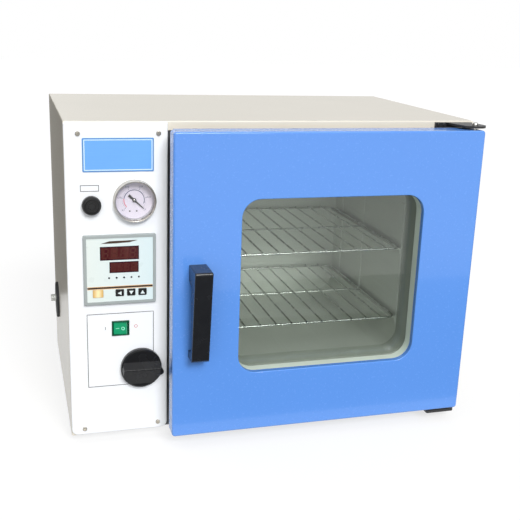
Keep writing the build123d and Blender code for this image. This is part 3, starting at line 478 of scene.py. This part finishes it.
def slab(bm, pts, y0, y1, place=pt):
    """Flat outline (x, z) as a closed prism from y0 to y1."""
    a = [bm.verts.new(place(x, y0, z)) for x, z in pts]
    b = [bm.verts.new(place(x, y1, z)) for x, z in pts]
    bm.faces.new(a)
    bm.faces.new(list(reversed(b)))
    n = len(pts)
    for i in range(n):
        j = (i + 1) % n
        bm.faces.new((a[j], a[i], b[i], b[j]))


def ring(bm, outer, inner, y0, y1, place=pt, closed=True):
    """Closed band between two outlines with the same number of points."""
    n = len(outer)
    ao = [bm.verts.new(place(x, y0, z)) for x, z in outer]
    ai = [bm.verts.new(place(x, y0, z)) for x, z in inner]
    bo = [bm.verts.new(place(x, y1, z)) for x, z in outer]
    bi = [bm.verts.new(place(x, y1, z)) for x, z in inner]
    for i in range(n if closed else n - 1):
        j = (i + 1) % n
        bm.faces.new((ao[i], ao[j], ai[j], ai[i]))
        bm.faces.new((bo[j], bo[i], bi[i], bi[j]))
        bm.faces.new((ao[j], ao[i], bo[i], bo[j]))
        bm.faces.new((ai[i], ai[j], bi[j], bi[i]))
    if not closed:
        for i in (0, n - 1):
            bm.faces.new((ao[i], ai[i], bi[i], bo[i]))


def box_line(name, x0, x1, z0, z1, r, width, y, material, body="cabinet", thick=0.12):
    bm = bmesh.new()
    ring(bm, rounded(x0, x1, z0, z1, r), rounded(x0 + width, x1 - width, z0 + width, z1 - width, max(r - width, 0.05)),
         y - thick, y + 0.05)
    return keep(name, bm, material, body)


# ---------------------------------------------------------------- marks on the control panel
box_line("valve_outline", 24.0, 114.6, 72.2, 179.0, 0.6, 0.85, 0.0, INK_GREY)
box_line("label_outline", 19.5, 43.5, 347.6, 356.0, 0.4, 0.75, 0.0, INK_GREY)

bm = bmesh.new()
slab(bm, [(48.4, 155.4), (49.1, 155.4), (49.1, 159.8), (48.4, 159.8)], -0.12, 0.05)
keep("mark_on", bm, INK_GREY, "cabinet")
bm = bmesh.new()
ring(bm, circle(90.1, 158.4, 2.35), circle(90.1, 158.4, 1.65), -0.12, 0.05)
keep("mark_off", bm, INK_RED, "cabinet")

# Nameplate: left blank, with its line border.
box_line("nameplate_border", 25.0, 113.0, 375.0, 415.0, 0.9, 1.15, -1.0, INK_PLATE_LINE, thick=0.08)
box_line("nameplate_edge", 23.35, 114.65, 373.35, 416.65, 1.2, 0.75, -0.93, INK_PLATE_EDGE, thick=0.09)

# ---------------------------------------------------------------- gauge
GX, GZ = 89.5, 334.2
DIAL_Y = 4.5


def polar(r, a):
    return GX + r * math.cos(math.radians(a)), GZ + r * math.sin(math.radians(a))


bm = bmesh.new()
ring(bm, circle(GX, GZ, 14.0, 60, -22.0, 171.0, False), circle(GX, GZ, 13.0, 60, -22.0, 171.0, False),
     DIAL_Y - 0.08, DIAL_Y + 0.05, closed=False)
keep("gauge_arc", bm, INK_ARC, "cabinet")
bm = bmesh.new()
ring(bm, circle(GX, GZ, 14.1, 24, 172.5, 223.0, False), circle(GX, GZ, 12.9, 24, 172.5, 223.0, False),
     DIAL_Y - 0.08, DIAL_Y + 0.05, closed=False)
keep("gauge_arc_red", bm, INK_ARC_RED, "cabinet")

bm = bmesh.new()
for i in range(51):
    a = -43.0 + 266.0 * i / 50
    major, half = i % 10 == 0, i % 5 == 0
    r0, r1, w = (14.6, 17.2, 0.24) if major else ((14.8, 16.4, 0.17) if half else (15.0, 15.9, 0.10))
    c, s = math.cos(math.radians(a)), math.sin(math.radians(a))
    q = [(r0, -w), (r1, -w), (r1, w), (r0, w)]
    slab(bm, [(GX + u * c - v * s, GZ + u * s + v * c) for u, v in q], DIAL_Y - 0.08, DIAL_Y + 0.05)
keep("gauge_ticks", bm, INK_ARC, "cabinet")


def number(text, x, z, size, y, material, name, body="cabinet"):
    """A plain number as a thin raised print."""
    cu = bpy.data.curves.new(name + "_curve", "FONT")
    cu.body = text
    cu.size = size / 1000.0
    cu.align_x = "CENTER"
    cu.align_y = "CENTER"
    cu.extrude = 0.00006
    cu.resolution_u = 4
    tmp = bpy.data.objects.new(name + "_tmp", cu)
    scene.collection.objects.link(tmp)
    bpy.context.view_layer.update()
    me = bpy.data.meshes.new_from_object(tmp.evaluated_get(bpy.context.evaluated_depsgraph_get()))
    bpy.data.objects.remove(tmp)
    bpy.data.curves.remove(cu)
    me.name = name
    me.transform(Matrix.Translation(pt(x, y, z)) @ Matrix.Rotation(math.radians(90), 4, "X"))
    me.materials.clear()
    me.materials.append(material)
    o = bpy.data.objects.new(name, me)
    scene.collection.objects.link(o)
    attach(o, body)
    return o


for i, text in enumerate(("0", "0.02", "0.04", "0.06", "0.08", "0.1")):
    a = -43.0 + 53.2 * i
    r = 19.7
    x, z = polar(r, a)
    number(text, x, z, 3.1, DIAL_Y, INK_ARC, "gauge_number_%d" % i)


def dome(bm, cx, cy, cz, r, h, steps=5, n=28, slot_w=0.0):
    """A low round head on a seat at y = cy, standing out towards the front."""
    rows = []
    for i in range(steps + 1):
        t = i / steps * 0.5 * math.pi
        rows.append((r * math.cos(t), cy - h * math.sin(t)))
    last = None
    base = None
    for rr, y in rows[:-1]:
        loop = [bm.verts.new(pt(cx + rr * math.cos(2 * math.pi * k / n), y, cz + rr * math.sin(2 * math.pi * k / n)))
                for k in range(n)]
        if last is None:
            base = loop
        else:
            for k in range(n):
                bm.faces.new((last[k], last[(k + 1) % n], loop[(k + 1) % n], loop[k]))
        last = loop
    top = bm.verts.new(pt(cx, cy - h, cz))
    for k in range(n):
        bm.faces.new((last[k], last[(k + 1) % n], top))
    bm.faces.new(list(reversed(base)))


bm = bmesh.new()
for dx in (-4.6, 4.6):
    dome(bm, GX - 1.3 + dx, DIAL_Y + 0.02, GZ - 14.9, 1.05, 0.45)
keep("gauge_dial_screws", bm, M["pointer_black"], "cabinet", True)
bm = bmesh.new()
dome(bm, GX, 2.41, GZ, 1.55, 0.55, 6, 32)
keep("gauge_hub_cap", bm, M["chrome"], "needle", True)

# ---------------------------------------------------------------- controller
CX, CZ = 69.0, 241.5
FACE_Y = -4.3

bm = bmesh.new()
slab(bm, [(CX - 25.2, CZ + 36.6), (CX - 4.0, CZ + 36.7), (CX + 12.5, CZ + 37.5), (CX + 24.0, CZ + 40.3), (CX + 3.0, CZ + 40.1),
          (CX - 13.6, CZ + 39.9)], FACE_Y - 0.08, FACE_Y + 0.05)
keep("controller_bar", bm, INK_BROWN, "cabinet")

bm = bmesh.new()
slab(bm, [(CX - 43.6, CZ - 25.7), (CX + 43.6, CZ - 25.7), (CX + 43.6, CZ - 23.2), (CX - 43.6, CZ - 23.2)],
     FACE_Y - 0.08, FACE_Y + 0.05)
keep("controller_rule", bm, INK_BROWN, "cabinet")
bm = bmesh.new()
for z0, z1 in ((CZ - 26.5, CZ - 25.75), (CZ - 23.15, CZ - 22.4)):
    slab(bm, [(CX - 43.6, z0), (CX + 43.6, z0), (CX + 43.6, z1), (CX - 43.6, z1)], FACE_Y - 0.06, FACE_Y + 0.05)
keep("controller_rule_edges", bm, INK_WARM, "cabinet")

WIN_Y = -4.2
PV = (CX - 26.2, CX + 25.2, CZ + 13.6, CZ + 32.4)
SV = (CX - 14.0, CX + 24.7, CZ - 4.1, CZ + 11.1)
for name, (x0, x1, z0, z1) in (("pv", PV), ("sv", SV)):
    bm = bmesh.new()
    ring(bm, rounded(x0 + 0.02, x1 - 0.02, z0 + 0.02, z1 - 0.02, 0.3), rounded(x0 + 1.5, x1 - 1.5, z0 + 1.4, z1 - 1.4, 0.4),
         WIN_Y - 0.05, WIN_Y + 0.1)
    keep("display_edge_" + name, bm, FRAME_DARK, "cabinet")


def segments(bm, cx, cz, h):
    """The seven bars and the point of one unlit digit, leaning a little."""
    w, t, gap = h * 0.52, h * 0.085, h * 0.018
    lean = 0.14

    def bar(x0, z0, x1, z1):
        dx, dz = x1 - x0, z1 - z0
        ln = math.hypot(dx, dz)
        ux, uz = dx / ln, dz / ln
        nx, nz = -uz, ux
        a, b = gap, ln - gap
        q = [(a, 0), (a + t, t), (b - t, t), (b, 0), (b - t, -t), (a + t, -t)]
        out = []
        for u, v in q:
            x, z = x0 + ux * u + nx * v, z0 + uz * u + nz * v
            out.append((cx + x + lean * z, cz + z))
        slab(bm, out, WIN_Y - 0.04, WIN_Y + 0.05)

    hw, hh = w / 2, h / 2
    for s in ((-hw, hh, hw, hh), (-hw, 0, hw, 0), (-hw, -hh, hw, -hh),
              (-hw, 0, -hw, hh), (hw, 0, hw, hh), (-hw, -hh, -hw, 0), (hw, -hh, hw, 0)):
        bar(*s)
    slab(bm, [(cx + hw + t * 1.5 + x, cz - hh + z) for x, z in circle(0, 0, t * 0.95, 12)], WIN_Y - 0.04, WIN_Y + 0.05)


for name, (x0, x1, z0, z1), h in (("pv", PV, 12.6), ("sv", SV, 9.6)):
    bm = bmesh.new()
    step = (x1 - x0 - 3.4) / 4
    for i in range(4):
        segments(bm, x0 + 1.5 + step * (i + 0.46), (z0 + z1) / 2, h)
    keep("digits_" + name, bm, SEGMENT, "cabinet")

KEY_Z = CZ - 32.3
KEY_Y = -5.3
bm = bmesh.new()
kx = CX - 0.8
slab(bm, [(kx - 3.0, KEY_Z - 0.3), (kx + 2.2, KEY_Z + 2.5), (kx + 2.2, KEY_Z - 3.1)], KEY_Y - 0.05, KEY_Y + 0.1)
keep("key_left_arrow", bm, INK_PALE, "left_key")
kx = CX + 14.5
bm = bmesh.new()
slab(bm, [(kx - 3.0, KEY_Z + 2.2), (kx + 3.0, KEY_Z + 2.2), (kx, KEY_Z - 2.8)], KEY_Y - 0.05, KEY_Y + 0.1)
keep("key_down_arrow", bm, INK_PALE, "down_key")
kx = CX + 29.8
bm = bmesh.new()
slab(bm, [(kx - 3.0, KEY_Z - 2.6), (kx + 3.0, KEY_Z - 2.6), (kx, KEY_Z + 2.4)], KEY_Y - 0.05, KEY_Y + 0.1)
keep("key_up_arrow", bm, INK_PALE, "up_key")

# ---------------------------------------------------------------- rocker marks
SWX, SWZ, PIV_Y = 69.1, 157.0, 2.5
ARC_R = 34.15


def on_rocker(x, y, z):
    """Local x and z on the rocker's hollow face, y its depth below the face."""
    yy = -38.55 + math.sqrt(ARC_R * ARC_R - x * x) + y
    a = math.radians(-10.0)
    return pt(SWX + x * math.cos(a) - yy * math.sin(a), PIV_Y + x * math.sin(a) + yy * math.cos(a), SWZ + z)


bm = bmesh.new()
n = 8
top = [(-5.9 + 4.6 * i / n, 0.50) for i in range(n + 1)]
low = [(-5.9 + 4.6 * i / n, -0.50) for i in range(n + 1)]
ring(bm, top, low, -0.05, 0.08, on_rocker, closed=False)
keep("rocker_bar", bm, INK_MINT, "rocker")
bm = bmesh.new()
ring(bm, circle(3.9, 0.0, 2.5, 40), circle(3.9, 0.0, 1.35, 40), -0.05, 0.08, on_rocker)
keep("rocker_ring", bm, INK_MINT, "rocker")

# ---------------------------------------------------------------- stage, light, camera
def sheet_of(name, corners, material):
    bm = bmesh.new()
    bm.faces.new([bm.verts.new(v) for v in corners])
    me = bpy.data.meshes.new(name)
    bm.to_mesh(me)
    bm.free()
    me.materials.append(material)
    o = bpy.data.objects.new(name, me)
    scene.collection.objects.link(o)
    return o


fp = Paint("floor_pale", (0.34, 0.34, 0.34), 0.9)
fp.p.inputs["Specular IOR Level"].default_value = 0.0
fp.p.inputs["Emission Color"].default_value = (1.0, 1.0, 1.0, 1.0)
fp.p.inputs["Emission Strength"].default_value = 0.69
fp.vary((0.34, 0.34, 0.34), 0.01, 0.6)
floor = sheet_of("floor", ((-9, -9, 0), (9, -9, 0), (9, 9, 0), (-9, 9, 0)), fp.m)
floor.visible_diffuse = False

# Dark flags, seen only in reflections: one behind and to the left, the others low in front and to the right.
fl = Paint("flag_dark", (0.06, 0.055, 0.045), 0.9)
fl.p.inputs["Specular IOR Level"].default_value = 0.0
fl.vary((0.06, 0.055, 0.045), 0.05, 2.0)
for name, corners in (
        ("flag_side", ((-0.30, 0.52, 0.0), (-3.2, 0.52, 0.0), (-3.2, 0.52, 1.3), (-0.30, 0.52, 1.3))),
        ("flag_front", ((-3.0, -0.86, 0.002), (3.0, -0.86, 0.002), (3.0, -0.26, 0.002), (-3.0, -0.26, 0.002))),
        ("flag_floor_right", ((0.36, -0.26, 0.002), (3.0, -0.26, 0.002), (3.0, 1.6, 0.002), (0.36, 1.6, 0.002))),
        ("flag_front_left", ((-0.02, -0.858, 0.003), (-0.55, -3.6, 0.003), (-4.0, -3.6, 0.003), (-4.0, -0.858, 0.003)))):
    flag = sheet_of(name, corners, fl.m)
    flag.visible_camera = False
    flag.visible_diffuse = False
    flag.visible_shadow = False
    flag.visible_transmission = False

world = bpy.data.worlds.new("studio")
scene.world = world
world.use_nodes = True
wt = world.node_tree
wt.nodes.clear()
w_out = wt.nodes.new("ShaderNodeOutputWorld")
w_mix = wt.nodes.new("ShaderNodeMixShader")
w_cam = wt.nodes.new("ShaderNodeBackground")
w_sky = wt.nodes.new("ShaderNodeBackground")
w_path = wt.nodes.new("ShaderNodeLightPath")
w_co = wt.nodes.new("ShaderNodeTexCoord")
w_xyz = wt.nodes.new("ShaderNodeSeparateXYZ")
w_map = wt.nodes.new("ShaderNodeMapRange")
w_cam.inputs["Color"].default_value = (1, 1, 1, 1)
w_cam.inputs["Strength"].default_value = 1.0
wt.links.new(w_co.outputs["Generated"], w_xyz.inputs[0])
wt.links.new(w_xyz.outputs[2], w_map.inputs["Value"])
w_map.inputs["From Min"].default_value = 0.0
w_map.inputs["From Max"].default_value = 1.0
w_map.inputs["To Min"].default_value = 0.29
w_map.inputs["To Max"].default_value = 0.19
w_sky.inputs["Color"].default_value = (0.98, 0.99, 1.0, 1)
# A bright backdrop behind the oven, seen only in glancing reflections.
w_back = wt.nodes.new("ShaderNodeMapRange")
wt.links.new(w_xyz.outputs[1], w_back.inputs["Value"])
w_back.inputs["From Min"].default_value = 0.3
w_back.inputs["From Max"].default_value = 0.7
w_back.inputs["To Min"].default_value = 0.0
w_back.inputs["To Max"].default_value = 0.40
w_only = wt.nodes.new("ShaderNodeMath")
w_only.operation = "MULTIPLY"
wt.links.new(w_back.outputs["Result"], w_only.inputs[0])
wt.links.new(w_path.outputs["Is Glossy Ray"], w_only.inputs[1])
w_sum = wt.nodes.new("ShaderNodeMath")
w_sum.operation = "ADD"
wt.links.new(w_map.outputs["Result"], w_sum.inputs[0])
wt.links.new(w_only.outputs[0], w_sum.inputs[1])
wt.links.new(w_sum.outputs[0], w_sky.inputs["Strength"])
wt.links.new(w_path.outputs["Is Camera Ray"], w_mix.inputs[0])
wt.links.new(w_sky.outputs[0], w_mix.inputs[1])
wt.links.new(w_cam.outputs[0], w_mix.inputs[2])
wt.links.new(w_mix.outputs[0], w_out.inputs[0])


def soft_sun(name, azimuth, elevation, strength, spread, colour=(1, 1, 1)):
    """Even light from far off. Azimuth 0 is straight in front of the door, positive to its right."""
    li = bpy.data.lights.new(name, "SUN")
    li.energy = strength
    li.angle = math.radians(spread)
    li.color = colour
    o = bpy.data.objects.new(name, li)
    scene.collection.objects.link(o)
    a, e = math.radians(azimuth), math.radians(elevation)
    back = Vector((math.sin(a) * math.cos(e), -math.cos(a) * math.cos(e), math.sin(e)))
    o.rotation_mode = "QUATERNION"
    o.rotation_quaternion = (-back).to_track_quat("-Z", "Y")
    return o


soft_sun("key", 6.0, 35.0, 2.25, 24.0, (1.0, 0.995, 0.985))
soft_sun("left_fill", -24.0, 12.0, 0.66, 60.0)
soft_sun("overhead", 0.0, 80.0, 0.95, 90.0)
soft_sun("rear_fill", -160.0, 25.0, 0.25, 50.0)

cam_data = bpy.data.cameras.new("camera")
cam_data.sensor_fit = "HORIZONTAL"
cam_data.sensor_width = 36.0
cam_data.lens = 58.31
cam_data.clip_start, cam_data.clip_end = 0.02, 60.0
cam = bpy.data.objects.new("camera", cam_data)
scene.collection.objects.link(cam)
yaw, pitch, roll = math.radians(16.711), math.radians(-16.237), math.radians(2.053)
look = Vector((math.sin(yaw) * math.cos(pitch), math.cos(yaw) * math.cos(pitch), math.sin(pitch)))
side = Vector((math.cos(yaw), -math.sin(yaw), 0.0))
up = side.cross(look)
right = math.cos(roll) * side + math.sin(roll) * up
over = -math.sin(roll) * side + math.cos(roll) * up
cam.matrix_world = Matrix((
    (right.x, over.x, -look.x, -0.3455),
    (right.y, over.y, -look.y, -1.2279),
    (right.z, over.z, -look.z, 0.5866),
    (0.0, 0.0, 0.0, 1.0)))
scene.camera = cam

scene.view_settings.view_transform = "Standard"
scene.view_settings.look = "None"
scene.view_settings.exposure = 0.0
scene.view_settings.gamma = 1.0

bpy.context.view_layer.update()
